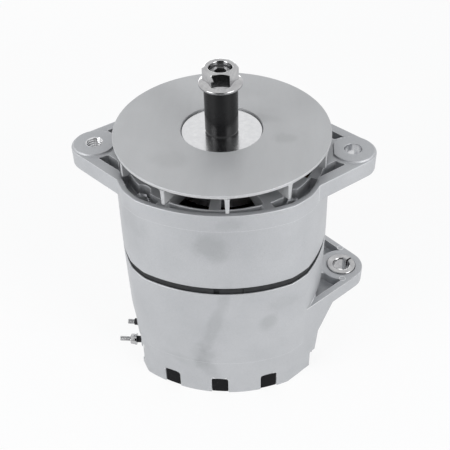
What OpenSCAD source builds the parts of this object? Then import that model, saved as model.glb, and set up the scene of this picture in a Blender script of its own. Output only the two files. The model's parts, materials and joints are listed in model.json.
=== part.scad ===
// Brushless engine alternator for a four-inch hinge mount, in millimetres.
// The origin is on the shaft axis in the plane of the rear rim. +Z runs towards
// the pulley nut and +X towards the two hinge lugs.

/* [Body] */
// Length of the rear frame, from its rim to the seam
rear_frame_h = 115.6; // [112:0.2:120]
// Width of the seam in which the stator core shows
seam_gap = 6.4; // [4:0.2:9]
// Length of the front frame, from the seam to its rim
front_frame_h = 68; // [66:0.5:72]
// Radius of the body at the middle of each side, at the seam
side_radius = 80.9; // [79.5:0.1:82]
// Radius of curvature of each side of the rounded square
side_curve = 115; // [108:1:120]
// How much farther out the rounded corners lie than the sides
corner_rise = 5.7; // [5.1:0.1:7]
// How much the radius shrinks from the seam to the front rim
front_draft = 1.2; // [0.4:0.1:1.6]
// How much the radius shrinks from the seam to the rear rim
rear_draft = 0.9; // [0.3:0.1:1.4]
// Thickness of the cast walls
wall = 4; // [3.4:0.1:4.6]
// Thickness of the frame skirts over the stator core
skirt = 1.6; // [1.4:0.1:2.4]
// Width of the front rim's flat top
rim_w = 3.4; // [2.8:0.1:4]
// Height of the raised band under the front rim
band_h = 14; // [10:0.5:18]
// How far that band stands proud of the wall
band_proud = 0.5; // [0.3:0.1:1]
// Height of the parting line above the rear rim
parting_z = 37; // [30:1:40]
// Step in the wall at the parting line
parting_step = 0.25; // [0.1:0.05:0.5]

/* [Hinge lugs] */
// Distance of the hinge and ear holes from the shaft axis
lug_reach = 96.3; // [95.8:0.1:97]
// Radius of the front lugs' ends
front_lug_r = 17.4; // [16.8:0.1:18]
// Angle between a front lug's edges and the line through its hole
front_lug_angle = 40; // [38:0.5:42]
// Thickness of the front lugs, without their pads
front_lug_t = 13.8; // [12:0.2:15]
// Height of the machined pads above the front rim
pad_h = 1.5; // [0.8:0.1:1.6]
// Radius of the pads
pad_r = 15.9; // [15:0.1:15.9]
// Distance between the fan's edge and the flat beside the right pad
pad_clear = 2; // [1:0.5:4]
// Bore of the front hinge lug
hinge_bore_d = 13; // [12:0.1:14]
// Core diameter of the adjusting ear's thread
ear_thread_d = 10.9; // [9.5:0.1:12]
// Depth of the pockets beside the pads
lug_pocket_depth = 9; // [6:0.5:10]
// Width of the flat between a front lug's edge and its pocket
lug_edge_w = 7.8; // [5:0.1:9]
// Width of those pockets
lug_pocket_w = 7.6; // [5:0.1:8.2]
// Distance between the inner faces of the front and rear hinge lugs
bracket_gap = 102; // [100:0.5:104]
// Thickness of the rear hinge lug
rear_lug_t = 13; // [11.5:0.5:14.5]
// Angle between the rear lug's edges and the line through its hole
rear_lug_angle = 45; // [43:0.5:46]
// Height of the sloping part of the gusset below the rear lug
gusset_h = 23; // [18:1:26]
// How far the flats of the two corners below that lug are cut into them
corner_cut = 0.9; // [0.4:0.1:1.2]
// Depth of the rear lug's three-sided pockets
rear_pocket_depth = 8; // [5:0.5:9]
// Width of the flat between the rear lug's edge and its pockets
rear_edge_w = 4.8; // [3.5:0.1:6]
// Outer diameter of the split bushing
bushing_d = 23.5; // [22.5:0.1:24]
// Bore of the split bushing
bushing_bore_d = 13.1; // [12.6:0.1:13.6]
// How far the bushing stands above the lug
bushing_proud = 1; // [0.5:0.1:1.5]
// Width of the bushing's slit
bushing_slit = 1.4; // [1:0.1:2]

/* [Front face] */
// How far the spokes lie below the front rim
face_drop = 1.5; // [1:0.1:2.5]
// Thickness of the spoked face
face_t = 12; // [10:0.5:13]
// Distance from a side to the arc rib inside the channel
arc_rib_in = 8.4; // [7.4:0.1:9.4]
// Thickness of the arc rib
arc_rib_t = 1.6; // [1.2:0.1:2.4]
// Depth of the channel behind the rim, below the spokes
channel_depth = 4.5; // [3:0.5:6]
// Half of the angle that the channel spans
channel_a = 26; // [22:0.5:28]
// Angle from the lugs' middle to the near end of a bolt trough
trough_a0 = 26; // [25:0.5:30]
// Angle from the lugs' middle to the far end of a bolt trough
trough_a1 = 58.5; // [56:0.5:60]
// Depth of the bolt pockets below the front rim
bolt_pocket_depth = 12; // [11:0.5:13]
// Inner radius of the air windows
window_r = 45; // [43:0.5:50]
// Angle from the middle of a side to the near end of a window
window_a0 = 3.2; // [2.5:0.1:5]
// Angle from the middle of a side to the far end of a window
window_a1 = 27.5; // [24:0.5:29]

/* [Through bolts] */
// How far the bolt circle lies inside the radius of the sides
bolt_inset = 4.9; // [4.4:0.1:5.9]
// Diameter of the through bolts
bolt_d = 6.3; // [5.5:0.1:6.6]
// Height of the bolt heads
bolt_head_h = 4; // [3:0.2:5]
// Width across the flats of the bolt heads
bolt_head_af = 9.5; // [8.5:0.1:10]
// Thickness of the bolt washers
bolt_washer_t = 1.2; // [0.8:0.1:1.6]
// Outer radius of the bolt washers
bolt_washer_r = 6; // [5.6:0.1:6.4]

/* [Rear rim] */
// Width of the rear air notches
notch_w = 13.4; // [12:0.2:14.4]
// Height of the rear air notches
notch_h = 17; // [14:0.5:18]
// Angle between neighbouring notches
notch_pitch = 28.6; // [27:0.2:29]
// Height over which the corners flare out towards the rear rim
flare_h = 14; // [8:0.5:18]
// How far the corners flare out at the rear rim
flare = 1.2; // [0.2:0.1:1.6]

/* [Terminals] */
// Depth of the terminals' seats below the side
pocket_depth = 11.9; // [10.9:0.1:12.4]
// How much nearer to the axis the lower half of the pocket's floor lies
pocket_step = 3; // [1:0.1:3.4]
// Highest point of the pocket's floor
pocket_z1 = 50; // [49:0.5:54]
// Front end of the pocket
pocket_y0 = -58; // [-60:1:-56]
// Back end of the pocket
pocket_y1 = 24; // [20:1:28]
// Diameter of the two small terminal studs
small_stud_d = 4.2; // [3.6:0.1:4.8]
// Diameter of the output stud
output_stud_d = 6.3; // [5.6:0.1:7]
// Reach of the output stud out of its seat
output_reach = 11.5; // [9:0.5:13]
// Reach of the lower small stud out of its seat
relay_reach = 19; // [17:0.5:21]
// Reach of the upper small stud out of its seat
indicator_reach = 10; // [8:0.5:12]

/* [Fan and pulley seat] */
// Radius of the fan disc
fan_r = 80; // [78:0.5:80]
// Thickness of the fan disc
fan_disc_t = 2.5; // [2:0.1:3.5]
// Number of blades
blade_count = 11; // [7:1:13]
// Height of the blades
blade_h = 12.8; // [12:0.2:15]
// Thickness of a blade at its free edge
blade_t = 2.5; // [2:0.1:3.5]
// Running gap between the blades and the front rim
blade_gap = 1.7; // [1.7:0.1:2.5]
// Angle of the first blade
blade_angle = -83.2; // [-90:0.2:-70]
// Radius of the fan's bright hub face
hub_face_r = 30; // [28:0.5:32]
// How far the hub face lies below the top of the disc
hub_recess = 1.6; // [1:0.1:2]
// Diameter of the shaft's pulley seat
seat_d = 22.2; // [21:0.1:22.6]
// Outer diameter of the spacing sleeve
sleeve_d = 24.4; // [24.2:0.1:26]
// Length of the spacing sleeve
sleeve_h = 38.4; // [34:0.2:42]
// Diameter of the shaft's threaded end
shaft_thread_d = 15.9; // [15:0.1:16.4]
// Flange diameter of the pulley nut
nut_flange_d = 31.4; // [29:0.2:33]
// Width across the flats of the pulley nut
nut_af = 22.2; // [21.6:0.1:23.6]
// Overall height of the pulley nut
nut_h = 14.1; // [12:0.1:16]
// Width across the flats of the hex socket in the shaft's end
socket_af = 8; // [6:0.5:9]

/* [Rotor and stator] */
// Thickness of the stator's yoke behind its slots at the middle of a side
yoke_t = 12.3; // [12.2:0.1:13.3]
// Radial air gap between rotor and stator
air_gap = 0.5; // [0.4:0.05:0.8]
// Length of the rotor's claw poles
rotor_len = 58; // [56:0.5:60]
// Number of claws on each pole piece
claw_count = 6; // [4:1:7]
// Half angle of a claw at its root
claw_root_a = 13.5; // [12:0.25:14]
// Half angle of a claw at its tip
claw_tip_a = 7.5; // [6:0.25:8]
// Thickness of the front pole piece's disc
pole_disc_t = 12; // [10:0.5:13]
// Thickness of the rear pole piece's ring
pole_ring_t = 10; // [8:0.5:12]
// Depth of each frame's skirt over the stator core
skirt_depth = 24; // [22:0.5:26]
// Number of stator slots
slot_count = 36; // [30:6:42]
// Depth of the stator slots
slot_depth = 15; // [13:0.5:16]
// Width of the stator slots
slot_w = 5; // [4:0.1:5.4]
// Height of the winding's end turns
end_turn_h = 11.5; // [9:0.5:13]

/* [Bearings] */
// Bore of the front bearing
front_bearing_d = 25; // [24.4:0.1:26]
// Outer diameter of the front bearing
front_bearing_od = 62; // [60:0.5:63]
// Width of the front bearing
front_bearing_w = 17; // [16:0.5:18]
// Ball diameter of the front bearing
front_ball_d = 11.5; // [11:0.1:12]
// Number of balls in the front bearing
front_ball_n = 7; // [6:1:8]
// Bore of the rear bearing
rear_bearing_d = 17; // [16:0.1:18]
// Outer diameter of the rear bearing
rear_bearing_od = 40; // [39:0.5:41]
// Width of the rear bearing
rear_bearing_w = 12; // [11:0.5:13]
// Ball diameter of the rear bearing
rear_ball_d = 6.75; // [6.4:0.05:7]
// Number of balls in the rear bearing
rear_ball_n = 8; // [7:1:9]
// Radius of the front bearing hub
front_hub_r = 40; // [39.5:0.5:42]
// Radius of the rear bearing hub
rear_hub_r = 36; // [35:0.5:37]
// Height of the rear bearing hub
rear_hub_h = 20; // [19:0.5:22]

/* [Field coil] */
// Gap between the field coil and the roots of the claws
coil_gap = 2; // [1.7:0.1:3.5]
// Radius of the support tube inside the coil
support_r = 24; // [23:0.25:25]
// Radius of the shaft's core inside the support
shaft_core_r = 18; // [17:0.1:18.4]

/* [Rear compartment] */
// Depth of the compartment behind the bulkhead
chamber_h = 46; // [45:0.5:49]
// Thickness of the bulkhead
bulkhead_t = 6; // [5:0.5:7]
// Thickness of the rectifier heat sinks
heatsink_t = 5; // [4:0.5:6]
// Gap between the heat sinks and the compartment's wall
heatsink_gap = 4.5; // [4.4:0.1:5]
// Diameter of the press-fit diodes
diode_d = 12.7; // [11.5:0.1:13]
// Length of the regulator
regulator_l = 36; // [32:1:38]
// Width of the regulator
regulator_w = 22; // [18:1:23]
// Height of the regulator
regulator_h = 13; // [10:0.5:15]
// Diameter of the capacitor
capacitor_d = 17; // [14:0.5:18]
// Length of the capacitor
capacitor_l = 26; // [20:1:30]
// Thickness of the end cover's sheet
cover_t = 1.6; // [1.2:0.1:2]
// Recess of the end cover from the rear rim
cover_recess = 2.4; // [2.2:0.1:4]

/* [Hidden] */
$fn = 96;

// Overlap of a cutting tool past the face that it cuts
cut = 1;
// Clearance of a screw in its tapped hole, and of a press-fitted seat
snug = 0.05;
// Clearance between neighbouring fixed pieces that slide together
loose = 0.15;
// Running clearance between moving and fixed pieces
run = 0.3;

corner_radius = side_radius + corner_rise;
corner_flat = corner_radius - corner_cut;
flare_r = corner_radius + flare;
arc_rib_r = side_radius - arc_rib_in;
bolt_circle_r = side_radius - bolt_inset;
pad_flat = fan_r + pad_clear;
pocket_floor = side_radius - pocket_depth;
slot_r = side_radius - skirt - yoke_t;
rotor_r = slot_r - slot_depth - air_gap;

seam_top = rear_frame_h + seam_gap;
front_rim_z = seam_top + front_frame_h;
core_z0 = rear_frame_h - skirt_depth;
core_z1 = seam_top + skirt_depth;
core_mid = (core_z0 + core_z1) / 2;
face_z = front_rim_z - face_drop;
face_z0 = face_z - face_t;
rotor_z0 = core_mid - rotor_len / 2;
rotor_z1 = core_mid + rotor_len / 2;

lug_top = front_rim_z;
lug_bottom = front_rim_z - front_lug_t;
rear_lug_top = lug_bottom - bracket_gap;
rear_lug_z0 = rear_lug_top - rear_lug_t;
lug_end = lug_reach + front_lug_r;
rear_lug_r = lug_end - lug_reach;

collar_r = 15;
front_bearing_z1 = front_rim_z - 9;
front_bearing_z0 = front_bearing_z1 - front_bearing_w;
retainer_t = 3;
blade_z0 = front_rim_z + blade_gap;
fan_disc_z = blade_z0 + blade_h;
fan_top = fan_disc_z + fan_disc_t;
hub_face_z = fan_top - hub_recess;
hub_flange_t = 3.9;
fan_web_t = 2.5;
fan_ring_t = 3.8;
hub_boss_r = 20;
fan_hub_z0 = front_rim_z + 2;
nut_z0 = hub_face_z + sleeve_h;
nut_top = nut_z0 + nut_h;

bulkhead_z1 = chamber_h + bulkhead_t;
rear_hub_z1 = chamber_h + rear_hub_h;
rear_bearing_z1 = rear_hub_z1 - 2;
rear_bearing_z0 = rear_bearing_z1 - rear_bearing_w;
pocket_wall_t = 7;
chamber_wall_r = pocket_floor - pocket_wall_t;
heatsink_r = chamber_wall_r - heatsink_gap;
bolt_seat_z = front_rim_z - bolt_pocket_depth;
bolt_end_z = core_z0 - 22;
claw_in_r = rotor_r - 5.5;
// How far the claws' roots reach inside the claws
claw_root = 2.5;
coil_r = claw_in_r - claw_root - coil_gap;
// How far the pole pieces' discs lie inside the faces of their claws
rim_step = 0.5;
coil_z0 = rotor_z0 + pole_ring_t - 3;
coil_z1 = rotor_z1 - pole_disc_t - 2;
bobbin_t = 3;
support_flange_r = claw_in_r - 3 - 0.6;

negative_gap = 1;
plate_gap = 7;
plate_a0 = 104;
plate_a1 = 250;
plate_screw_r = 2.5;
plate_screw_circle = heatsink_r - 7.5;
plate_screw_angles = [135, 180, 225];
diode_angles = [116, 157.5, 202.5];
diode_circle = heatsink_r - 13.5;
lead_angles = [112.5, 157.5, 202.5];
lead_circle = heatsink_r - 1.3;
lead_r = 1.5;
negative_z1 = chamber_h - negative_gap;
negative_z0 = negative_z1 - heatsink_t;
positive_z1 = negative_z0 - plate_gap;
positive_z0 = positive_z1 - heatsink_t;

retainer_screw_r = 2;
retainer_screw_circle = (front_bearing_od / 2 + front_hub_r) / 2;
cover_screw_circle = side_radius - 10.9;
cover_post_r = 5;
cover_screw_r = 2;
tab_recess = 0.6;
inner_slot_r = [26, 44];
outer_slot_r = [52, side_radius - 14.9];
grease_cap_r = 12;
coil_screw_circle = 28;
coil_screw_r = 2.5;
coil_screw_seat_z = rear_hub_z1 + 8;
regulator_angle = -22.5;
regulator_x = side_radius - 31.4;
regulator_screw_r = 2;
capacitor_angle = 55;
capacitor_x = side_radius - 30.9;
diode_trio_x = side_radius - 34.9;
socket_depth = 9;
front_pitch_r = (front_bearing_d + front_bearing_od) / 4;
rear_pitch_r = (rear_bearing_d + rear_bearing_od) / 4;

// Place of each terminal along Y and its height
relay_at = [-42, 18];
indicator_at = [-42, 40];
output_at = [2, positive_z0 + heatsink_t / 2];
bush_t = 1.5;
small_bush_t = 0.75;
small_collar_t = 4.4;
small_washer_t = 1.7;
// Each terminal's place along Y, height and hole radius in the rear frame
terminals = [
    [relay_at[0], relay_at[1], small_stud_d / 2 + small_bush_t],
    [indicator_at[0], indicator_at[1], small_stud_d / 2 + small_bush_t],
    [output_at[0], output_at[1], output_stud_d / 2 + bush_t]
];

aluminium = [0.75, 0.76, 0.78];
machined = [0.86, 0.86, 0.88];
steel = [0.62, 0.63, 0.65];
black = [0.09, 0.09, 0.1];
copper = [0.72, 0.4, 0.22];
zinc = [0.8, 0.8, 0.78];

// Outline of the body at the seam, pulled in by inset
module body_outline(inset) {
    intersection() {
        intersection_for (a = [0 : 90 : 270])
            rotate(a) translate([side_radius - side_curve, 0]) circle(side_curve - inset);
        circle(corner_radius - inset);
    }
}

// Drafted block with the body's outline, pulled in by in0 at z0 and in1 at z1;
// its corners have the radius c0 at z0
module body_block(z0, z1, in0, in1, c0 = 0) {
    translate([0, 0, z0]) intersection() {
        intersection_for (a = [0 : 90 : 270])
            rotate(a) translate([side_radius - side_curve, 0, 0])
                cylinder(h = z1 - z0, r1 = side_curve - in0, r2 = side_curve - in1);
        cylinder(h = z1 - z0, r1 = c0 > 0 ? c0 : corner_radius - in0, r2 = corner_radius - in1);
    }
}

module prism(z0, z1) {
    translate([0, 0, z0]) linear_extrude(z1 - z0) children();
}

module disc(z0, z1, r) {
    prism(z0, z1) circle(r);
}

module ring(z0, z1, r_in, r_out) {
    prism(z0, z1) difference() {
        circle(r_out);
        circle(r_in);
    }
}

module hex_prism(z0, z1, af) {
    prism(z0, z1) circle(af / sqrt(3), $fn = 6);
}

// Part of a ring between two radii and two angles
module sector(r_in, r_out, a0, a1) {
    reach = 2 * r_out;
    middle = (a0 + a1) / 2;
    intersection() {
        difference() {
            circle(r_out);
            circle(r_in);
        }
        polygon([[0, 0], reach * [cos(a0), sin(a0)], reach * [cos(middle), sin(middle)],
            reach * [cos(a1), sin(a1)]]);
    }
}

module at_bolts(r) {
    for (a = [45 : 90 : 315])
        rotate(a) translate([r, 0]) children();
}

module around(n, r, a0 = 0) {
    for (i = [0 : n - 1])
        rotate(a0 + i * 360 / n) translate([r, 0]) children();
}

// Plan of a lug: a round end and two straight edges running back to the body
module lug_plan(r, angle, inset, back) {
    tip = r - inset;
    edge = [lug_reach + tip * sin(angle), tip * cos(angle)];
    run_back = (edge[0] - back) * tan(angle);
    translate([lug_reach, 0]) circle(tip);
    polygon([edge, [back, edge[1] + run_back], [back, -edge[1] - run_back],
        [edge[0], -edge[1]]]);
}

// Pockets that run along a front lug's edges, between its pad and the body
module lug_pockets() {
    back = side_radius - 12;
    difference() {
        lug_plan(front_lug_r, front_lug_angle, lug_edge_w, back);
        lug_plan(front_lug_r, front_lug_angle, lug_edge_w + lug_pocket_w, back - 1);
        translate([lug_reach, 0]) circle(pad_r + 2.8);
        circle(side_radius - 3);
    }
}

module front_lug(pad_cut) {
    back = side_radius - 12;
    prism(lug_bottom, lug_top) lug_plan(front_lug_r, front_lug_angle, 0, back);
    prism(lug_bottom, lug_top + pad_h) difference() {
        translate([lug_reach, 0]) circle(pad_r);
        translate([pad_cut - 2 * pad_r, -pad_r]) square(2 * pad_r);
    }
}

// Inside of a frame beside the winding: thin sides and thick bolt corners
module winding_room() {
    difference() {
        body_outline(wall);
        at_bolts(bolt_circle_r) circle(bolt_d / 2 + 4.3);
        at_bolts(bolt_circle_r) translate([0, -bolt_d / 2 - 4.3]) square([12, bolt_d + 8.6]);
    }
}

module core_seat(z0, z1) {
    prism(z0, z1) body_outline(skirt - loose);
}

// Everything that is cut out of the front frame's face
module front_face_cuts() {
    top = front_rim_z + cut;
    prism(face_z, top) body_outline(rim_w + front_draft);
    prism(face_z - channel_depth, top) intersection() {
        body_outline(rim_w + front_draft);
        for (side = [90, 270]) sector(arc_rib_r, corner_radius, side - channel_a, side + channel_a);
    }
    prism(face_z0 - cut, top) for (side = [0 : 90 : 270], s = [-1, 1])
        sector(window_r, arc_rib_r - arc_rib_t,
            side + min(s * window_a0, s * window_a1), side + max(s * window_a0, s * window_a1));
    prism(bolt_seat_z, top) intersection() {
        union() {
            at_bolts(bolt_circle_r) circle(bolt_washer_r + 1.6);
            for (mx = [0, 1], my = [0, 1]) mirror([mx, 0]) mirror([0, my])
                sector(arc_rib_r, corner_radius, trough_a0, trough_a1);
        }
        body_outline(rim_w + front_draft);
    }
}

module drive_end_frame() {
    color(aluminium) difference() {
        union() {
            body_block(seam_top, front_rim_z, 0, front_draft);
            body_block(front_rim_z - band_h, front_rim_z, front_draft - band_proud,
                front_draft - band_proud);
            front_lug(pad_flat);
            mirror([1, 0, 0]) front_lug(0);
        }
        core_seat(seam_top - cut, core_z1);
        difference() {
            prism(core_z1 - cut, face_z0) winding_room();
            disc(front_bearing_z0, face_z0 + cut, front_hub_r);
        }
        front_face_cuts();
        prism(lug_top - lug_pocket_depth, lug_top + cut) {
            lug_pockets();
            mirror([1, 0]) lug_pockets();
        }
        prism(front_bearing_z0 - cut, front_bearing_z1) circle(front_bearing_od / 2 + snug);
        prism(front_bearing_z0 - cut, front_rim_z) circle(collar_r + run + 4);
        prism(core_z1 - cut, front_rim_z) at_bolts(bolt_circle_r) circle(bolt_d / 2 + loose);
        prism(front_bearing_z0 - cut, front_bearing_z0 + 12)
            around(4, retainer_screw_circle) circle(retainer_screw_r + snug);
        prism(lug_bottom - cut, lug_top + pad_h + cut) {
            translate([lug_reach, 0]) circle(hinge_bore_d / 2);
            translate([-lug_reach, 0]) circle(ear_thread_d / 2);
        }
    }
}

// Pocket for the terminals, seen along Y: open at the rear rim, with a drafted floor,
// a rounded roof and a raised seat for each terminal
module terminal_pocket_cut() {
    roof_r = 9;
    low = pocket_floor - pocket_step;
    high = pocket_floor + 1;
    outside = corner_radius + 8;
    foot = [7, 6];
    difference() {
        translate([0, pocket_y1, 0]) rotate([90, 0, 0]) linear_extrude(pocket_y1 - pocket_y0)
            difference() {
                polygon([[-outside, -cut], [-low, -cut], [-low, pocket_z1 - 24],
                    [-high, pocket_z1 - 6], [-high, pocket_z1], [-high, pocket_z1 + roof_r],
                    [-outside, pocket_z1 + roof_r]]);
                translate([-high - roof_r, pocket_z1]) difference() {
                    square(roof_r + cut);
                    circle(roof_r);
                }
            }
        for (t = terminals)
            translate([-pocket_floor, t[0], t[1]]) rotate([0, 90, 0])
                cylinder(h = pocket_step + cut, r = t[2] + 3);
        // Foot left standing beside the pocket at the rim
        translate([-outside, pocket_y0 - cut, -2 * cut])
            cube([outside, foot[0] + cut, foot[1] + 2 * cut]);
    }
}

// Block of metal behind the terminal pocket, inside the rear frame
module terminal_wall() {
    thick = pocket_wall_t;
    intersection() {
        translate([-corner_radius, pocket_y0 - thick, 0])
            cube([corner_radius - chamber_wall_r, pocket_y1 - pocket_y0 + 2 * thick,
                pocket_z1 + 16 + thick]);
        prism(0, core_z0) body_outline(wall / 2);
    }
}

// Gusset that carries the rear lug: it fills both corners of that side down to the
// rim and slopes out to the lug at its top
module rear_gusset() {
    back = side_radius - 24;
    rim_x = side_radius - 5.4;
    knee_x = side_radius - 2.1;
    knee_z = rear_lug_z0 - gusset_h;
    lug_x = knee_x + gusset_h * tan(25);
    intersection() {
        prism(0, rear_lug_z0 + cut) lug_plan(rear_lug_r, rear_lug_angle, 0, back);
        translate([0, corner_radius, 0]) rotate([90, 0, 0]) linear_extrude(2 * corner_radius)
            polygon([[back, 0], [rim_x, 0], [knee_x, knee_z], [lug_x, rear_lug_z0],
                [lug_x, rear_lug_z0 + cut], [back, rear_lug_z0 + cut]]);
    }
}

// Lowest part of the rear frame: its corners flare out, and two of them are cut flat
module flared_base(in_rim, in_top) {
    reach = 100;
    d = corner_flat * sqrt(2);
    intersection() {
        body_block(0, flare_h, in_rim, in_top, flare_r);
        prism(0, flare_h) polygon([[-reach, -reach], [d - reach, -reach], [d, 0],
            [d - reach, reach], [-reach, reach]]);
    }
}

// Outline of an air notch, with a gap left round it
module notch_profile(z0, gap) {
    corner = 1.5;
    w = notch_w - 2 * gap;
    h = notch_h - gap - z0;
    translate([-w / 2, z0]) square([w, h - corner]);
    translate([-w / 2 + corner, z0]) square([w - 2 * corner, h]);
    for (side = [-1, 1]) translate([side * (w / 2 - corner), z0 + h - corner]) circle(corner);
}

module at_notches() {
    for (side = [-90, 0, 90], i = [-1, 0, 1])
        rotate([0, 0, side + i * notch_pitch]) translate([side_radius - 10, 0, 0])
            rotate([90, 0, 90]) linear_extrude(20) children();
}

module rear_lug_pockets() {
    difference() {
        lug_plan(rear_lug_r, rear_lug_angle, rear_edge_w, side_radius - 6);
        translate([lug_reach, 0]) circle(bushing_d / 2 + 5.8);
        circle(side_radius - 1.5);
        translate([side_radius - 6, -bushing_d / 2 + 1])
            square([lug_reach - side_radius + 6, bushing_d - 2]);
    }
}

// How far the wall below the parting line lies inside the body's outline
function lower_inset(z) = rear_draft * (1 - z / rear_frame_h) + parting_step;

module rear_frame() {
    color(aluminium) difference() {
        union() {
            body_block(parting_z, rear_frame_h, lower_inset(parting_z) - parting_step, 0);
            body_block(flare_h, parting_z, lower_inset(flare_h), lower_inset(parting_z));
            flared_base(lower_inset(0) - 0.4, lower_inset(flare_h));
            prism(rear_lug_z0, rear_lug_top)
                lug_plan(rear_lug_r, rear_lug_angle, 0, side_radius - 14);
            rear_gusset();
        }
        core_seat(core_z0, rear_frame_h + cut);
        difference() {
            prism(bulkhead_z1, core_z0 + cut) winding_room();
            disc(bulkhead_z1 - cut, rear_hub_z1, rear_hub_r);
            terminal_wall();
        }
        difference() {
            prism(-cut, chamber_h) body_outline(wall + rear_draft);
            prism(cover_recess + cover_t, chamber_h + cut)
                at_bolts(cover_screw_circle) circle(cover_post_r);
            terminal_wall();
        }
        terminal_pocket_cut();
        at_notches() notch_profile(-cut, 0);
        prism(chamber_h - cut, bulkhead_z1 + cut) for (a = [22.5 : 45 : 337.5])
            sector(rear_hub_r + 5, side_radius - wall - 13, a - 15, a + 15);
        prism(rear_bearing_z0, rear_hub_z1 + cut) circle(rear_bearing_od / 2 + snug);
        prism(chamber_h - cut, rear_hub_z1) circle(grease_cap_r);
        prism(bolt_end_z - cut, core_z0 + cut) at_bolts(bolt_circle_r) circle(bolt_d / 2 + snug);
        prism(cover_recess + cover_t - cut, chamber_h - 12)
            at_bolts(cover_screw_circle) circle(cover_screw_r + snug);
        prism(rear_hub_z1 - 12, rear_hub_z1 + cut) around(4, coil_screw_circle, 45)
            circle(coil_screw_r + snug);
        regulator_screw_places() disc(chamber_h - cut, chamber_h + 5, regulator_screw_r + snug);
        for (a = plate_screw_angles)
            rotate([0, 0, a]) translate([plate_screw_circle, 0, 0])
                disc(chamber_h - cut, chamber_h + 5, plate_screw_r + snug);
        prism(rear_lug_z0 - gusset_h - cut, rear_lug_top + cut)
            translate([lug_reach, 0]) circle(bushing_d / 2 + snug);
        prism(rear_lug_top - rear_pocket_depth, rear_lug_top + cut) rear_lug_pockets();
        for (t = terminals)
            translate([-corner_radius, t[0], t[1]]) rotate([0, 90, 0])
                cylinder(h = corner_radius - chamber_wall_r + cut, r = t[2]);
    }
}

module stator_core() {
    slot_mouth = 2.4;
    color(black) prism(core_z0, core_z1) difference() {
        body_outline(skirt);
        circle(rotor_r + air_gap);
        around(slot_count, 0) {
            translate([rotor_r - cut, -slot_mouth / 2]) square([4, slot_mouth]);
            translate([rotor_r + air_gap + 2, -slot_w / 2]) square([slot_depth - 2, slot_w]);
        }
        at_bolts(bolt_circle_r) circle(bolt_d / 2 + loose);
        for (a = [0 : 90 : 270])
            rotate(a) translate([side_radius - skirt - 1.2, -2.15]) square([4, 4.3]);
        rotate(-76) translate([side_radius - skirt - 1, -0.3]) square([4, 0.6]);
    }
}

module end_turns(z0, z1) {
    inner = rotor_r + air_gap + 2.4;
    outer = slot_r + 1;
    round_r = 3;
    rotate_extrude() {
        translate([inner, z0 + round_r]) square([outer - inner, z1 - z0 - 2 * round_r]);
        translate([inner + round_r, z0]) square([outer - inner - 2 * round_r, z1 - z0]);
        for (x = [inner + round_r, outer - round_r], z = [z0 + round_r, z1 - round_r])
            translate([x, z]) circle(round_r);
    }
}

module stator_winding() {
    color(copper) {
        prism(core_z0 - 1, core_z1 + 1) around(slot_count, 0)
            translate([rotor_r + air_gap + 2 + loose, -slot_w / 2 + loose])
                square([slot_depth - 2 - 2 * loose, slot_w - 2 * loose]);
        end_turns(core_z1 + 0.3, core_z1 + 0.3 + end_turn_h);
        end_turns(core_z0 - 0.3 - end_turn_h, core_z0 - 0.3);
    }
}

// Three leads from the winding through the bulkhead to the rectifier
module phase_leads() {
    color(black) for (a = lead_angles)
        rotate([0, 0, a]) translate([lead_circle, 0, negative_z1])
            cylinder(h = core_z0 - end_turn_h - negative_z1 - 0.3, r = lead_r);
}

module through_bolts() {
    head_z = bolt_seat_z + bolt_washer_t;
    color(zinc) at_bolts(bolt_circle_r) {
        prism(bolt_end_z, head_z + 1) circle(bolt_d / 2);
        hex_prism(head_z, head_z + bolt_head_h, bolt_head_af);
        prism(head_z, head_z + 1) circle(bolt_head_af / sqrt(3) - 0.1);
    }
}

module through_bolt_washers() {
    color(zinc) at_bolts(bolt_circle_r)
        ring(bolt_seat_z, bolt_seat_z + bolt_washer_t, bolt_d / 2 + snug, bolt_washer_r);
}

// Bearing race between two radii with a groove for the balls
module race(z0, w, r_in, r_out, pitch_r, ball_d) {
    chamfer = 0.8;
    rotate_extrude() difference() {
        translate([0, z0]) polygon([[r_in + chamfer, 0], [r_out - chamfer, 0], [r_out, chamfer],
            [r_out, w - chamfer], [r_out - chamfer, w], [r_in + chamfer, w],
            [r_in, w - chamfer], [r_in, chamfer]]);
        translate([pitch_r, z0 + w / 2]) circle(ball_d / 2 + run);
    }
}

// Ball cage: a ring with a pocket round each ball
module cage(z0, w, pitch_r, ball_d, n) {
    half_t = ball_d * 0.12;
    height = ball_d * 1.25;
    mid = z0 + w / 2;
    difference() {
        ring(mid - height / 2, mid + height / 2, pitch_r - half_t, pitch_r + half_t);
        for (i = [0 : n - 1])
            rotate([0, 0, i * 360 / n]) translate([pitch_r, 0, mid]) sphere(ball_d / 2 + loose);
    }
}

module balls(z0, w, pitch_r, ball_d, n) {
    for (i = [0 : n - 1])
        rotate([0, 0, i * 360 / n]) translate([pitch_r, 0, z0 + w / 2]) sphere(ball_d / 2);
}

function shoulder(pitch_r, ball_d, s) = pitch_r + s * ball_d * 0.31;

module front_bearing_outer_race() {
    color(steel) race(front_bearing_z0, front_bearing_w,
        shoulder(front_pitch_r, front_ball_d, 1), front_bearing_od / 2, front_pitch_r, front_ball_d);
}

module front_bearing_inner_race() {
    color(steel) race(front_bearing_z0, front_bearing_w, front_bearing_d / 2,
        shoulder(front_pitch_r, front_ball_d, -1), front_pitch_r, front_ball_d);
}

module front_bearing_balls() {
    color(machined) balls(front_bearing_z0, front_bearing_w, front_pitch_r, front_ball_d,
        front_ball_n);
}

module front_bearing_cage() {
    color("goldenrod") cage(front_bearing_z0, front_bearing_w, front_pitch_r, front_ball_d,
        front_ball_n);
}

module rear_bearing_outer_race() {
    color(steel) race(rear_bearing_z0, rear_bearing_w, shoulder(rear_pitch_r, rear_ball_d, 1),
        rear_bearing_od / 2, rear_pitch_r, rear_ball_d);
}

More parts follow.
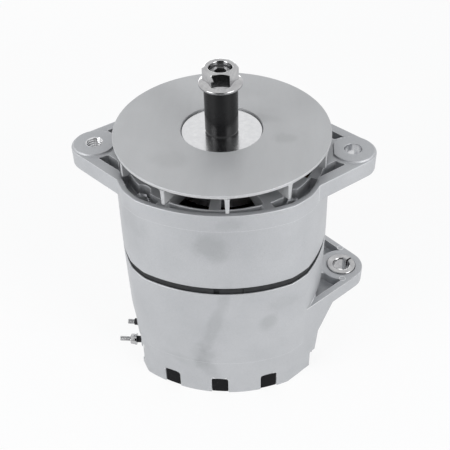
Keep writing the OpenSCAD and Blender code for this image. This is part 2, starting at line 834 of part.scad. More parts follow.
module rear_bearing_inner_race() {
    color(steel) race(rear_bearing_z0, rear_bearing_w, rear_bearing_d / 2,
        shoulder(rear_pitch_r, rear_ball_d, -1), rear_pitch_r, rear_ball_d);
}

module rear_bearing_balls() {
    color(machined) balls(rear_bearing_z0, rear_bearing_w, rear_pitch_r, rear_ball_d,
        rear_ball_n);
}

module rear_bearing_cage() {
    color("goldenrod") cage(rear_bearing_z0, rear_bearing_w, rear_pitch_r, rear_ball_d,
        rear_ball_n);
}

module front_bearing_retainer() {
    color(zinc) prism(front_bearing_z0 - retainer_t, front_bearing_z0) difference() {
        circle(front_hub_r - 0.5);
        circle(shoulder(front_pitch_r, front_ball_d, 1) + 0.5);
        around(4, retainer_screw_circle) circle(retainer_screw_r + loose);
    }
}

module retainer_screws() {
    head_z = front_bearing_z0 - retainer_t;
    color(zinc) around(4, retainer_screw_circle) {
        prism(head_z, front_bearing_z0 + 10) circle(retainer_screw_r);
        hex_prism(head_z - 2.5, head_z, 6.4);
    }
}

module front_grease_seal() {
    color(black) ring(front_bearing_z1 + 1, face_z - 0.5, collar_r + run,
        collar_r + run + 4 - snug);
}

module rear_grease_cap() {
    color(zinc) {
        disc(chamber_h + 1, chamber_h + 2.2, grease_cap_r - snug);
        ring(chamber_h + 1, chamber_h + 4.5, grease_cap_r - 1.2, grease_cap_r - snug);
    }
}

// Iron body that carries the stationary coil inside the rotor
module field_coil_support() {
    bore = shaft_core_r + 0.6;
    base_r = rear_hub_r - 2;
    flange_z = rotor_z0 - 4;
    color(steel) difference() {
        rotate_extrude() polygon([[bore, rear_hub_z1], [base_r, rear_hub_z1],
            [base_r, flange_z], [support_flange_r, flange_z + 3], [support_flange_r, coil_z0],
            [support_r, coil_z0], [support_r, coil_z1], [bore, coil_z1]]);
        prism(rear_hub_z1 - cut, flange_z + cut) around(4, coil_screw_circle, 45)
            circle(coil_screw_r + loose);
        prism(coil_screw_seat_z, coil_z0 + cut) around(4, coil_screw_circle, 45)
            circle(coil_screw_r + 2.4);
    }
}

module field_coil_bobbin() {
    tube_r = support_r + loose;
    color(black) rotate_extrude() polygon([[tube_r, coil_z0], [coil_r, coil_z0],
        [coil_r, coil_z0 + bobbin_t], [tube_r + bobbin_t, coil_z0 + bobbin_t],
        [tube_r + bobbin_t, coil_z1 - bobbin_t], [coil_r, coil_z1 - bobbin_t],
        [coil_r, coil_z1], [tube_r, coil_z1]]);
}

module field_coil_winding() {
    color(copper) ring(coil_z0 + bobbin_t + snug, coil_z1 - bobbin_t - snug,
        support_r + bobbin_t + loose + snug, coil_r - 0.8);
}

module field_coil_screws() {
    seat = coil_screw_seat_z;
    color(zinc) around(4, coil_screw_circle, 45) {
        prism(rear_hub_z1 - 10, seat + 1) circle(coil_screw_r);
        hex_prism(seat, seat + 3.5, 2 * coil_screw_r + 3);
    }
}

// The rectifier: two crescent plates one above the other, held by insulated screws
module heatsink_plan(hole_r) {
    difference() {
        sector(rear_hub_r - 6, heatsink_r, plate_a0, plate_a1);
        for (a = plate_screw_angles)
            rotate(a) translate([plate_screw_circle, 0]) circle(hole_r);
    }
}

module diode_seats(r) {
    for (a = diode_angles)
        rotate(a) translate([diode_circle, 0]) circle(r);
}

module rectifier_heatsink_negative() {
    color(aluminium) prism(negative_z0, negative_z1) difference() {
        heatsink_plan(plate_screw_r + loose);
        diode_seats(diode_d / 2 + snug);
        for (a = lead_angles) rotate(a) translate([lead_circle, 0]) circle(lead_r / 2);
    }
}

module rectifier_heatsink_positive() {
    color(aluminium) {
        prism(positive_z0, positive_z1) difference() {
            heatsink_plan(plate_screw_r + bush_t + loose);
            diode_seats(diode_d / 2 + snug);
        }
        // Tab that takes the head of the output stud
        translate([-chamber_wall_r + 4.1, output_at[0] - 5, positive_z0])
            cube([2, 10, heatsink_t]);
    }
}

module rectifier_insulators() {
    color(black) for (a = plate_screw_angles)
        rotate([0, 0, a]) translate([plate_screw_circle, 0, 0]) {
            ring(positive_z1, negative_z0, plate_screw_r + loose, plate_screw_r + 3.5);
            ring(positive_z0 - 2, positive_z1, plate_screw_r + loose,
                plate_screw_r + bush_t);
            ring(positive_z0 - 2, positive_z0, plate_screw_r + loose, plate_screw_r + 3.5);
            ring(negative_z1, chamber_h, plate_screw_r + loose, plate_screw_r + 3.5);
        }
}

module rectifier_screws() {
    color(zinc) for (a = plate_screw_angles)
        rotate([0, 0, a]) translate([plate_screw_circle, 0, 0]) {
            disc(positive_z0 - 3, chamber_h + 4, plate_screw_r);
            hex_prism(positive_z0 - 5.5, positive_z0 - 2, 8);
        }
}

module rectifier_diodes() {
    color(steel) {
        prism(negative_z0 - 2, negative_z1) diode_seats(diode_d / 2);
        prism(positive_z0 - 2, positive_z1) diode_seats(diode_d / 2);
    }
}

module diode_trio() {
    color(black) rotate([0, 0, 90]) translate([diode_trio_x, -8, chamber_h - 8.3])
        cube([10, 16, 8]);
}

module regulator() {
    z1 = chamber_h - 0.3;
    color(black) difference() {
        rotate([0, 0, regulator_angle]) translate([regulator_x, 0, 0]) union() {
            translate([-regulator_w / 2, -regulator_l / 2, z1 - regulator_h])
                cube([regulator_w, regulator_l, regulator_h]);
            translate([-regulator_w * 0.3, -regulator_l / 2 - 8, z1 - 3])
                cube([regulator_w * 0.6, regulator_l + 16, 3]);
        }
        regulator_screw_places() disc(0, chamber_h + cut, regulator_screw_r + loose);
    }
}

module regulator_screw_places() {
    rotate([0, 0, regulator_angle]) for (s = [-1, 1])
        translate([regulator_x, s * (regulator_l / 2 + 3.8), 0]) children();
}

module regulator_screws() {
    seat = chamber_h - 3.3;
    color(zinc) regulator_screw_places() {
        disc(seat - 2.2, seat, 3.4);
        disc(seat - 1, chamber_h + 4, regulator_screw_r);
    }
}

module capacitor() {
    color(machined) rotate([0, 0, capacitor_angle])
        translate([capacitor_x, -capacitor_l / 2, chamber_h - capacitor_d / 2 - 0.3])
            rotate([-90, 0, 0]) cylinder(h = capacitor_l, d = capacitor_d);
}

// Cover over the rear compartment, with a turned-up edge, air slots, and tabs that
// close the notches of the rear frame
module end_cover() {
    z0 = cover_recess;
    fit = wall + rear_draft + 0.4;
    color(black) difference() {
        union() {
            difference() {
                prism(z0, notch_h + 2) body_outline(fit);
                prism(z0 + cover_t, notch_h + 3) body_outline(fit + cover_t);
            }
            intersection() {
                at_notches() notch_profile(0.2, loose);
                prism(0, notch_h) difference() {
                    body_outline(lower_inset(0) + tab_recess);
                    body_outline(fit + cover_t / 2);
                }
            }
        }
        prism(z0 - cut, z0 + cover_t + cut) {
            for (a = [0 : 20 : 340]) sector(inner_slot_r[0], inner_slot_r[1], a - 5, a + 5);
            for (a = [0 : 15 : 345])
                if (abs(a % 90 - 45) > 10)
                    sector(outer_slot_r[0], outer_slot_r[1], a - 4, a + 4);
            at_bolts(cover_screw_circle) circle(cover_screw_r + loose);
        }
        // Room for the terminal pocket's wall, and behind it for the studs' heads
        translate([-corner_radius, pocket_y0 - pocket_wall_t - 2, 0])
            cube([corner_radius - chamber_wall_r + 0.4,
                pocket_y1 - pocket_y0 + 2 * pocket_wall_t + 4, notch_h + 3]);
        translate([-corner_radius, pocket_y0 - pocket_wall_t - 2, z0 + cover_t])
            cube([corner_radius - chamber_wall_r + 5,
                pocket_y1 - pocket_y0 + 2 * pocket_wall_t + 4, notch_h]);
    }
}

module end_cover_screws() {
    color(zinc) at_bolts(cover_screw_circle) {
        prism(cover_recess - 0.5, chamber_h - 16) circle(cover_screw_r);
        hex_prism(cover_recess - 2, cover_recess, 7);
    }
}

// Lays a piece that was drawn along Z out along -X at a terminal
module at_terminal(place) {
    translate([0, place[0], place[1]]) rotate([0, -90, 0]) children();
}

module stud(place, d, reach) {
    at_terminal(place) {
        prism(chamber_wall_r - 3, pocket_floor + reach - 0.5) circle(d / 2);
        prism(pocket_floor + reach - 0.6, pocket_floor + reach) circle(d / 2 - 0.5);
        hex_prism(chamber_wall_r - 4, chamber_wall_r - 1.2, d * 1.6);
    }
}

// Insulating bush through the wall, with a collar inside
module stud_insulator(place, d, t, stand) {
    at_terminal(place) {
        ring(chamber_wall_r - 1.2, pocket_floor + stand, d / 2 + snug, d / 2 + t - snug);
        ring(chamber_wall_r - 1.2, chamber_wall_r, d / 2 + snug, d / 2 + 2.1);
    }
}

// Plain hex nut with chamfered corners
module stud_nut(place, d, z0, h, af) {
    at_terminal(place) difference() {
        intersection() {
            hex_prism(z0, z0 + h, af);
            translate([0, 0, z0]) cylinder(h = h, r1 = af / sqrt(3), r2 = af / 2 + 0.2);
        }
        prism(z0 - cut, z0 + h + cut) circle(d / 2 + snug);
    }
}

module output_stud() {
    color(zinc) stud(output_at, output_stud_d, output_reach);
}

module output_stud_insulator() {
    color(black) {
        stud_insulator(output_at, output_stud_d, bush_t, 3);
        at_terminal(output_at) ring(pocket_floor, pocket_floor + 3, output_stud_d / 2 + snug, 7);
    }
}

module output_stud_nut() {
    color(zinc) stud_nut(output_at, output_stud_d, pocket_floor + 3, 5, 11);
}

module relay_stud() {
    color(zinc) stud(relay_at, small_stud_d, relay_reach);
}

module relay_stud_insulator() {
    color(black) stud_insulator(relay_at, small_stud_d, small_bush_t, small_collar_t);
}

module relay_stud_washer() {
    color(zinc) at_terminal(relay_at)
        ring(pocket_floor + small_collar_t, pocket_floor + small_collar_t + small_washer_t,
            small_stud_d / 2 + snug, 5);
}

module relay_stud_nut() {
    color(zinc) stud_nut(relay_at, small_stud_d,
        pocket_floor + small_collar_t + small_washer_t, 3.6, 8);
}

module indicator_stud() {
    color(zinc) stud(indicator_at, small_stud_d, indicator_reach);
}

module indicator_stud_insulator() {
    color(black) stud_insulator(indicator_at, small_stud_d, small_bush_t, small_collar_t);
}

module shaft() {
    base_z = rear_hub_z1 + 2;
    head_z = rotor_z1 + 4;
    thread_z1 = nut_top - 4;
    color(steel) difference() {
        rotate_extrude() polygon([[0, rear_bearing_z0 - 2],
            [rear_bearing_d / 2 - 1, rear_bearing_z0 - 2],
            [rear_bearing_d / 2, rear_bearing_z0 - 1], [rear_bearing_d / 2, base_z],
            [shaft_core_r, base_z], [shaft_core_r, head_z],
            [front_bearing_d / 2 + 2, head_z],
            [front_bearing_d / 2 + 2, front_bearing_z0],
            [front_bearing_d / 2, front_bearing_z0], [front_bearing_d / 2, front_bearing_z1],
            [seat_d / 2, front_bearing_z1], [seat_d / 2, nut_z0 - 2],
            [shaft_thread_d / 2, nut_z0 - 2], [shaft_thread_d / 2, thread_z1 - 1.2],
            [shaft_thread_d / 2 - 1.2, thread_z1], [0, thread_z1]]);
        hex_prism(thread_z1 - socket_depth, thread_z1 + cut, socket_af);
    }
}

module bearing_collar() {
    color(steel) ring(front_bearing_z1, fan_hub_z0, seat_d / 2 + snug, collar_r);
}

module fan_hub() {
    edge = 0.6;
    color(machined) rotate_extrude() polygon([[seat_d / 2 + snug, fan_hub_z0],
        [hub_boss_r, fan_hub_z0], [hub_boss_r, hub_face_z - hub_flange_t],
        [hub_face_r, hub_face_z - hub_flange_t], [hub_face_r, hub_face_z - edge],
        [hub_face_r - edge, hub_face_z], [seat_d / 2 + snug, hub_face_z]]);
}

// One straight blade, drafted from its root at the disc to its free edge
module fan_blade() {
    root_t = blade_t + 1;
    inner = hub_face_r + fan_ring_t - 1;
    difference() {
        translate([inner, 0, 0]) rotate([90, 0, 90]) linear_extrude(fan_r - inner)
            polygon([[-blade_t / 2, blade_z0], [blade_t / 2, blade_z0],
                [root_t / 2, fan_disc_z - 1.5], [root_t / 2 + 0.8, fan_disc_z + 0.5],
                [-root_t / 2 - 0.8, fan_disc_z + 0.5], [-root_t / 2, fan_disc_z - 1.5]]);
        ring(blade_z0 - cut, fan_top, fan_r - 0.3, fan_r + 2);
    }
}

module fan() {
    ring_r = hub_face_r + 0.2;
    web_z1 = hub_face_z - hub_flange_t;
    color(aluminium) {
        ring(fan_disc_z, fan_top, ring_r, fan_r);
        ring(web_z1 - fan_web_t, fan_disc_z + 0.5, ring_r, ring_r + fan_ring_t);
        ring(web_z1 - fan_web_t, web_z1, hub_boss_r + snug, ring_r + 0.5);
        for (i = [0 : blade_count - 1])
            rotate([0, 0, blade_angle + i * 360 / blade_count]) fan_blade();
    }
}

module shaft_sleeve() {
    chamfer = 0.6;
    color(black) rotate_extrude() polygon([[seat_d / 2 + snug, hub_face_z],
        [sleeve_d / 2 - chamfer, hub_face_z], [sleeve_d / 2, hub_face_z + 2],
        [sleeve_d / 2, nut_z0], [seat_d / 2 + snug, nut_z0]]);
}

module pulley_nut() {
    flange_t = 1.8;
    corner_r = nut_af / sqrt(3) + 1;
    color(zinc) difference() {
        union() {
            rotate_extrude() polygon([[0, nut_z0], [nut_flange_d / 2, nut_z0],
                [nut_flange_d / 2, nut_z0 + flange_t], [nut_af / 2 - 0.5, nut_z0 + 4.4],
                [0, nut_z0 + 4.4]]);
            intersection() {
                hex_prism_flat(nut_z0 + 1, nut_top, nut_af);
                translate([0, 0, nut_z0]) rotate_extrude() polygon([[0, 0], [corner_r, 0],
                    [corner_r, nut_h - 2.4], [nut_af / 2 - 0.6, nut_h], [0, nut_h]]);
            }
        }
        prism(nut_z0 - cut, nut_top + cut) circle(shaft_thread_d / 2 + snug);
        translate([0, 0, nut_top - 1.2])
            cylinder(h = 1.3, r1 = shaft_thread_d / 2, r2 = shaft_thread_d / 2 + 1.3);
    }
}

// Hexagon turned so that one flat faces the front of the body
module hex_prism_flat(z0, z1, af) {
    rotate([0, 0, 5]) hex_prism(z0, z1, af);
}

// One claw: a slice of a ring that narrows from its base to its tip
module claw(base_z, root_z, tip_z) {
    mid_r = (claw_in_r + rotor_r) / 2;
    up = sign(tip_z - root_z);
    intersection() {
        rotate_extrude() polygon([[claw_in_r - claw_root, base_z], [rotor_r, base_z],
            [rotor_r, tip_z - up * 2], [rotor_r - 1, tip_z], [claw_in_r + 1.5, tip_z],
            [claw_in_r, (root_z + tip_z) / 2], [claw_in_r, root_z + up * 6],
            [claw_in_r - claw_root, root_z + up * 2]]);
        rotate([90, 0, 90]) linear_extrude(rotor_r + 5)
            polygon([[-mid_r * sin(claw_root_a), base_z - up], [-mid_r * sin(claw_tip_a), tip_z + up],
                [mid_r * sin(claw_tip_a), tip_z + up], [mid_r * sin(claw_root_a), base_z - up]]);
    }
}

module pole_front() {
    root_z = rotor_z1 - pole_disc_t;
    color(steel) difference() {
        union() {
            disc(root_z, rotor_z1, rotor_r - rim_step);
            for (i = [0 : claw_count - 1])
                rotate([0, 0, i * 360 / claw_count])
                    claw(rotor_z1 - 2, root_z, rotor_z0 + pole_ring_t + 3);
        }
        prism(root_z - cut, rotor_z1 + cut) circle(shaft_core_r + snug);
    }
}

module pole_rear() {
    root_z = rotor_z0 + pole_ring_t;
    color(steel) {
        ring(rotor_z0, root_z, claw_in_r - 3, rotor_r - rim_step);
        for (i = [0 : claw_count - 1])
            rotate([0, 0, (i + 0.5) * 360 / claw_count])
                claw(rotor_z0 + 2, root_z, rotor_z1 - pole_disc_t - 3);
    }
}

// Non-magnetic ring that joins the two sets of claws
module pole_ring() {
    color(machined) ring(core_mid - 5, core_mid + 5, coil_r + 1, claw_in_r);
}

module hinge_bushing() {
    bore_r = bushing_bore_d / 2;
    out_r = bushing_d / 2 - snug / 2;
    z0 = rear_lug_z0 + 1.2;
    z1 = rear_lug_top + bushing_proud;
    chamfer = 1;
    color(zinc) difference() {
        translate([lug_reach, 0, 0]) rotate_extrude()
            polygon([[bore_r, z0], [out_r, z0], [out_r, z1 - 0.6], [out_r - 0.6, z1],
                [bore_r + chamfer, z1], [bore_r, z1 - chamfer]]);
        translate([lug_reach, 0, z0 - cut]) rotate([0, 0, 40])
            translate([0, -bushing_slit / 2, 0]) cube([bushing_d, bushing_slit, z1 - z0 + 2 * cut]);
    }
}

drive_end_frame();
rear_frame();
stator_core();
stator_winding();
phase_leads();
through_bolts();
through_bolt_washers();
front_bearing_outer_race();
front_bearing_retainer();
retainer_screws();
front_grease_seal();
rear_bearing_outer_race();
rear_grease_cap();
field_coil_support();
field_coil_bobbin();
field_coil_winding();
field_coil_screws();
rectifier_heatsink_positive();
rectifier_heatsink_negative();
rectifier_insulators();
rectifier_screws();
rectifier_diodes();
diode_trio();
regulator();
regulator_screws();
capacitor();
end_cover();
end_cover_screws();
output_stud();
output_stud_insulator();
output_stud_nut();
relay_stud();
relay_stud_insulator();
relay_stud_washer();
relay_stud_nut();
indicator_stud();
indicator_stud_insulator();
shaft();
fan();
fan_hub();
pulley_nut();
shaft_sleeve();
bearing_collar();
pole_front();
pole_rear();
pole_ring();
front_bearing_inner_race();
rear_bearing_inner_race();
front_bearing_balls();
front_bearing_cage();
rear_bearing_balls();
rear_bearing_cage();
hinge_bushing();
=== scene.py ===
"""Looks of the engine alternator: procedural materials, soft-edged castings, studio and camera."""

import json
import math

import bmesh
import bpy
from mathutils import Matrix, Vector
from mathutils.kdtree import KDTree


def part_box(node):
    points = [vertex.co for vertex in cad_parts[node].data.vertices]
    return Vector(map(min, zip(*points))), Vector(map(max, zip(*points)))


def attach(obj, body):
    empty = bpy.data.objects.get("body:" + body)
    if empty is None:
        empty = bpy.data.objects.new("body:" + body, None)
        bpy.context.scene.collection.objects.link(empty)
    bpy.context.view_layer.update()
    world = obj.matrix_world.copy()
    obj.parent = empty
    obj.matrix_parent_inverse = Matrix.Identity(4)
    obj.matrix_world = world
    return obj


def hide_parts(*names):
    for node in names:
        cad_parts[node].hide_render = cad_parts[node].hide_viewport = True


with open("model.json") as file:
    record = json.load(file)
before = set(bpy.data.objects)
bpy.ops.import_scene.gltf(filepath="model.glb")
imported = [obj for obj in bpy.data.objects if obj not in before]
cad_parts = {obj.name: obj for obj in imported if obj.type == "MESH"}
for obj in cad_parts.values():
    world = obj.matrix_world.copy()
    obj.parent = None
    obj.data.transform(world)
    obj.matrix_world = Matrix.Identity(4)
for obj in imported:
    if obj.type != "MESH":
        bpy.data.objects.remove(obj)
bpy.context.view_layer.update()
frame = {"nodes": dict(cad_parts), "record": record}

# The photograph's camera, fitted to the fan disc, hub and lugs
PHOTO_PX = 450
FOCAL_PX = 784.2
SENSOR_MM = 36.0
CAMERA_AZIMUTH = math.radians(5.2)
CAMERA_ELEVATION = math.radians(40.83)
CAMERA_ROLL = math.radians(-1.56)
CAMERA_DISTANCE = 0.6333
CAMERA_TARGET = Vector((0.00039, 0.00004, 0.11326))

WHITE = (1.0, 1.0, 1.0)
SLOTS = {row["node"]: row["material_slot"] for row in frame["record"]["subparts"]}

# Edges between faces that meet at more than this angle are rounded
ROUNDED_FROM = math.radians(35)
# Faces that meet at less than this angle count as one smooth patch
PATCH_ANGLE = math.radians(25)
# A patch narrower than this many roundings keeps its edges sharp
MIN_PATCH = 2.2
# Edges stay sharp within this many roundings of a place where the surface folded
SPARED_REACH = 3
# Faces that meet at more than this angle after the rounding have folded
FOLD_ANGLE = math.radians(150)
ROUNDING_TRIES = 9
# Edges over this angle are shaded sharp
SHARP_ANGLE = math.radians(50)
SAME_PLANE = math.radians(0.5)
SAME_PLACE = 1e-6

# Roundings of the edges, in metres
CASTING_EDGE = 0.0006
SOFT_EDGES = {
    "rear_frame": CASTING_EDGE,
    "fan": 0.0005,
    "fan_hub": 0.0003,
    "pulley_nut": 0.0004,
    "through_bolts": 0.0004,
    "through_bolt_washers": 0.0002,
    "hinge_bushing": 0.0006,
    "end_cover": 0.0004,
    "relay_stud_nut": 0.0002,
    "output_stud_nut": 0.0003,
    "relay_stud_washer": 0.0002,
}

# Threads of the adjusting ear and of the terminals, in metres
EAR_THREAD_PITCH = 0.00195
EAR_THREAD_DEPTH = 0.0009
EAR_THREAD_CHAMFER = 0.9e-3
EAR_SLEEVE_WALL = 0.05e-3
STUD_PITCH = {"relay_stud": 0.0008, "indicator_stud": 0.0008, "output_stud": 0.001}
STUD_RADIUS = {"relay_stud": 0.0021, "indicator_stud": 0.0021, "output_stud": 0.00315}
STUD_ROOT = 0.82
STUD_CHAMFER = 0.6e-3
STUD_HEAD_CHAMFER = 0.3e-3

# Bore of the front hinge lug, in metres
HINGE_BORE_AT = Vector((0.0963, 0.0))
HINGE_BORE_RADIUS = 0.0065

# Ejector marks on the rear lug: places in metres, radii and heights in millimetres
BUSHING_PROUD = 0.001
EJECTOR_PLACES = ((0.0968, -0.0166), (0.0964, 0.0203))
EJECTOR_PROFILE = ((2.0, -0.1), (2.1, 0.02), (2.35, 0.12), (2.6, 0.12), (2.8, 0.02), (2.9, -0.1))

# Details of the finishes, in metres, and the turning lines in radians per metre
LAMINATION_PITCH = 0.0007
TURNING_LINES = 9000.0
# Painted highlight along the castings' edges: how far it reaches in metres, and its light tone
EDGE_HIGHLIGHT_REACH = 0.0009
EDGE_HIGHLIGHT_TONE = (0.8, 0.805, 0.815)

# Floor, in metres, and how much of it is plain white to the camera
FLOOR_SIZE = 6.0
FLOOR_GLOW = 0.88

# Dark half of the studio: a cloth behind the camera and one on the floor in front, in metres
DARK_SPAN_X = (-1.1, 1.1)
DARK_Y = -1.6
DARK_SPAN_Z = (0.25, 2.4)
DARK_FLOOR_X = (-0.2, 0.2)
DARK_FLOOR_Y = (-1.6, -0.36)
DARK_FLOOR_Z = 0.002

# Marks of handling on the castings: centre in metres, radii, tilt in degrees, depth of tone
BODY_MARKS = (
    ((-0.0045, -0.081, 0.161), (0.014, 0.03, 0.012), 20, 0.15),
    ((-0.0025, -0.081, 0.082), (0.006, 0.03, 0.042), 16, 0.11),
    ((-0.012, -0.081, 0.046), (0.011, 0.03, 0.012), 0, 0.12),
    ((-0.009, -0.081, 0.030), (0.007, 0.03, 0.015), -25, 0.09),
    ((-0.030, -0.078, 0.036), (0.020, 0.03, 0.007), 12, 0.05),
    ((0.0386, -0.071, 0.082), (0.007, 0.03, 0.010), 35, 0.12),
    ((0.047, -0.068, 0.099), (0.014, 0.03, 0.009), 0, 0.07),
    ((-0.061, -0.055, 0.168), (0.014, 0.03, 0.016), -30, 0.07),
    ((0.012, -0.081, 0.182), (0.010, 0.03, 0.005), 0, 0.08),
    ((0.055, 0.062, 0.140), (0.016, 0.03, 0.022), 10, 0.08),
    ((-0.045, 0.070, 0.070), (0.020, 0.03, 0.012), -20, 0.08),
)
DISC_MARKS = (
    ((-0.020, 0.010, 0.207), (0.012, 0.009, 0.05), 0, 0.08),
    ((0.045, -0.011, 0.207), (0.010, 0.007, 0.05), 0, 0.10),
    ((-0.034, -0.040, 0.207), (0.016, 0.010, 0.05), 0, 0.06),
    ((0.028, 0.014, 0.207), (0.014, 0.008, 0.05), 0, 0.09),
    ((0.010, 0.052, 0.207), (0.020, 0.010, 0.05), 0, 0.05),
)


class Nodes:
    """Short forms for building one material's node tree."""

    def __init__(self, name):
        self.material = bpy.data.materials.new(name)
        self.material.use_nodes = True
        self.tree = self.material.node_tree
        self.tree.nodes.clear()
        self.out = self.add("ShaderNodeOutputMaterial")
        self.shader = self.add("ShaderNodeBsdfPrincipled")
        self.link(self.shader.outputs["BSDF"], self.out.inputs["Surface"])
        self.coords = self.add("ShaderNodeTexCoord").outputs["Object"]

    def add(self, kind):
        return self.tree.nodes.new(kind)

    def link(self, source, target):
        self.tree.links.new(source, target)

    def set(self, **values):
        for name, value in values.items():
            self.shader.inputs[name.replace("_", " ")].default_value = value

    def noise(self, scale, detail=4.0, roughness=0.55, stretch=None, distortion=0.0):
        source = self.coords
        if stretch:
            mapping = self.add("ShaderNodeMapping")
            mapping.inputs["Scale"].default_value = stretch
            self.link(source, mapping.inputs["Vector"])
            source = mapping.outputs["Vector"]
        node = self.add("ShaderNodeTexNoise")
        self.link(source, node.inputs["Vector"])
        node.inputs["Scale"].default_value = scale
        node.inputs["Detail"].default_value = detail
        node.inputs["Roughness"].default_value = roughness
        node.inputs["Distortion"].default_value = distortion
        return node.outputs["Fac"]

    def cells(self, scale):
        node = self.add("ShaderNodeTexVoronoi")
        self.link(self.coords, node.inputs["Vector"])
        node.inputs["Scale"].default_value = scale
        return node.outputs["Distance"]

    def ramp(self, factor, stops):
        node = self.add("ShaderNodeValToRGB")
        self.link(factor, node.inputs["Fac"])
        elements = node.color_ramp.elements
        while len(elements) < len(stops):
            elements.new(0.5)
        for element, (place, value) in zip(elements, stops):
            element.position = place
            colour = value if isinstance(value, tuple) else (value, value, value)
            element.color = (*colour, 1.0)
        return node.outputs["Color"]

    def math(self, operation, a, b=None):
        node = self.add("ShaderNodeMath")
        node.operation = operation
        for value, slot in ((a, 0), (b, 1)):
            if value is None:
                continue
            if isinstance(value, (int, float)):
                node.inputs[slot].default_value = value
            else:
                self.link(value, node.inputs[slot])
        return node.outputs["Value"]

    def mix(self, factor, a, b, mode="MIX"):
        node = self.add("ShaderNodeMix")
        node.data_type = "RGBA"
        node.blend_type = mode
        for value, slot in ((factor, 0), (a, 6), (b, 7)):
            if isinstance(value, (int, float)):
                node.inputs[slot].default_value = value
            elif isinstance(value, tuple):
                node.inputs[slot].default_value = (*value, 1.0)
            else:
                self.link(value, node.inputs[slot])
        return node.outputs[2]

    def painted_edge_highlight(self, radius):
        """1 along the edges, where a painted highlight lightens the metal's colour, and 0 on the
        faces.
        """
        rounded = self.add("ShaderNodeBevel")
        rounded.samples = 8
        rounded.inputs["Radius"].default_value = radius
        flat = self.add("ShaderNodeNewGeometry")
        turn = self.add("ShaderNodeVectorMath")
        turn.operation = "DOT_PRODUCT"
        self.link(rounded.outputs["Normal"], turn.inputs[0])
        self.link(flat.outputs["True Normal"], turn.inputs[1])
        return self.ramp(turn.outputs["Value"], [(0.86, 1.0), (0.97, 0.0)])

    def marks(self, spots, ragged):
        """Factor that darkens the surface in soft, ragged spots placed in the object's frame."""
        total = 1.0
        for centre, radii, tilt, depth in spots:
            place = self.add("ShaderNodeMapping")
            place.vector_type = "TEXTURE"
            place.inputs["Location"].default_value = centre
            place.inputs["Rotation"].default_value = (0, math.radians(tilt), 0)
            place.inputs["Scale"].default_value = radii
            self.link(self.coords, place.inputs["Vector"])
            length = self.add("ShaderNodeVectorMath")
            length.operation = "LENGTH"
            self.link(place.outputs["Vector"], length.inputs[0])
            reach = self.math("ADD", length.outputs["Value"], ragged)
            fade = self.add("ShaderNodeMapRange")
            fade.interpolation_type = "SMOOTHSTEP"
            self.link(reach, fade.inputs["Value"])
            fade.inputs["From Min"].default_value = 0.35
            fade.inputs["From Max"].default_value = 1.25
            fade.inputs["To Min"].default_value = 1.0 - depth
            fade.inputs["To Max"].default_value = 1.0
            total = self.math("MULTIPLY", total, fade.outputs["Result"])
        return total

    def axis(self, name):
        node = self.add("ShaderNodeSeparateXYZ")
        self.link(self.coords, node.inputs["Vector"])
        return node.outputs[name]

    def radius(self):
        """Distance from the shaft axis."""
        x, y = self.axis("X"), self.axis("Y")
        squares = self.math("ADD", self.math("MULTIPLY", x, x), self.math("MULTIPLY", y, y))
        return self.math("SQRT", squares)

    def bump(self, *layers):
        """Each layer is a height, its strength and its depth in metres."""
        normal = None
        for height, strength, depth in layers:
            node = self.add("ShaderNodeBump")
            node.inputs["Strength"].default_value = strength
            node.inputs["Distance"].default_value = depth
            self.link(height, node.inputs["Height"])
            if normal is not None:
                self.link(normal, node.inputs["Normal"])
            normal = node.outputs["Normal"]
        self.link(normal, self.shader.inputs["Normal"])

    def colour(self, source):
        self.link(source, self.shader.inputs["Base Color"])

    def roughness(self, source):
        self.link(source, self.shader.inputs["Roughness"])


def cast_aluminium():
    n = Nodes("cast_aluminium")
    n.set(Metallic=0.5, IOR=1.45, Specular_IOR_Level=0.35)
    grain = n.noise(1500, 3, 0.65)
    skin = n.noise(420, 4, 0.6)
    mottle = n.noise(30, 5, 0.6)
    ragged = n.math("MULTIPLY", n.math("SUBTRACT", n.noise(70, 4, 0.6), 0.5), 1.6)
    base = n.ramp(mottle, [(0.3, (0.455, 0.463, 0.478)), (0.7, (0.505, 0.513, 0.527))])
    speck = n.ramp(grain, [(0.25, 0.9), (0.75, 1.07)])
    pits = n.ramp(n.cells(260), [(0.03, 0.72), (0.09, 1.0)])
    rare = n.ramp(n.noise(55, 2, 0.5), [(0.56, 0.0), (0.62, 1.0)])
    tone = n.mix(1.0, base, speck, "MULTIPLY")
    tone = n.mix(rare, tone, n.mix(1.0, tone, pits, "MULTIPLY"))
    tone = n.mix(1.0, tone, n.marks(BODY_MARKS, ragged), "MULTIPLY")
    # Painted highlight: the edges are coloured lighter to stand in for the light they catch
    n.colour(n.mix(n.painted_edge_highlight(EDGE_HIGHLIGHT_REACH), tone, EDGE_HIGHLIGHT_TONE))
    n.roughness(n.ramp(mottle, [(0.2, 0.46), (0.8, 0.56)]))
    n.bump((grain, 0.3, 0.00012), (skin, 0.16, 0.00022), (mottle, 0.1, 0.0004))
    return n.material


def fan_aluminium():
    n = Nodes("fan_aluminium")
    n.set(Metallic=0.5, IOR=1.45, Specular_IOR_Level=0.3)
    grain = n.noise(1700, 3, 0.65)
    blotch = n.noise(18, 3, 0.5, distortion=0.4)
    ragged = n.math("MULTIPLY", n.math("SUBTRACT", n.noise(90, 4, 0.6), 0.5), 1.4)
    streak = n.noise(60, 4, 0.6, stretch=(1.0, 0.16, 1.0), distortion=0.3)
    base = n.ramp(blotch, [(0.35, (0.50, 0.505, 0.512)), (0.65, (0.545, 0.55, 0.557))])
    speck = n.ramp(grain, [(0.25, 0.9), (0.75, 1.08)])
    faint = n.ramp(streak, [(0.3, 0.965), (0.7, 1.02)])
    tone = n.mix(1.0, n.mix(1.0, base, speck, "MULTIPLY"), faint, "MULTIPLY")
    n.colour(n.mix(1.0, tone, n.marks(DISC_MARKS, ragged), "MULTIPLY"))
    n.roughness(n.ramp(blotch, [(0.3, 0.5), (0.7, 0.58)]))
    n.bump((grain, 0.25, 0.0001), (blotch, 0.1, 0.0004))
    return n.material


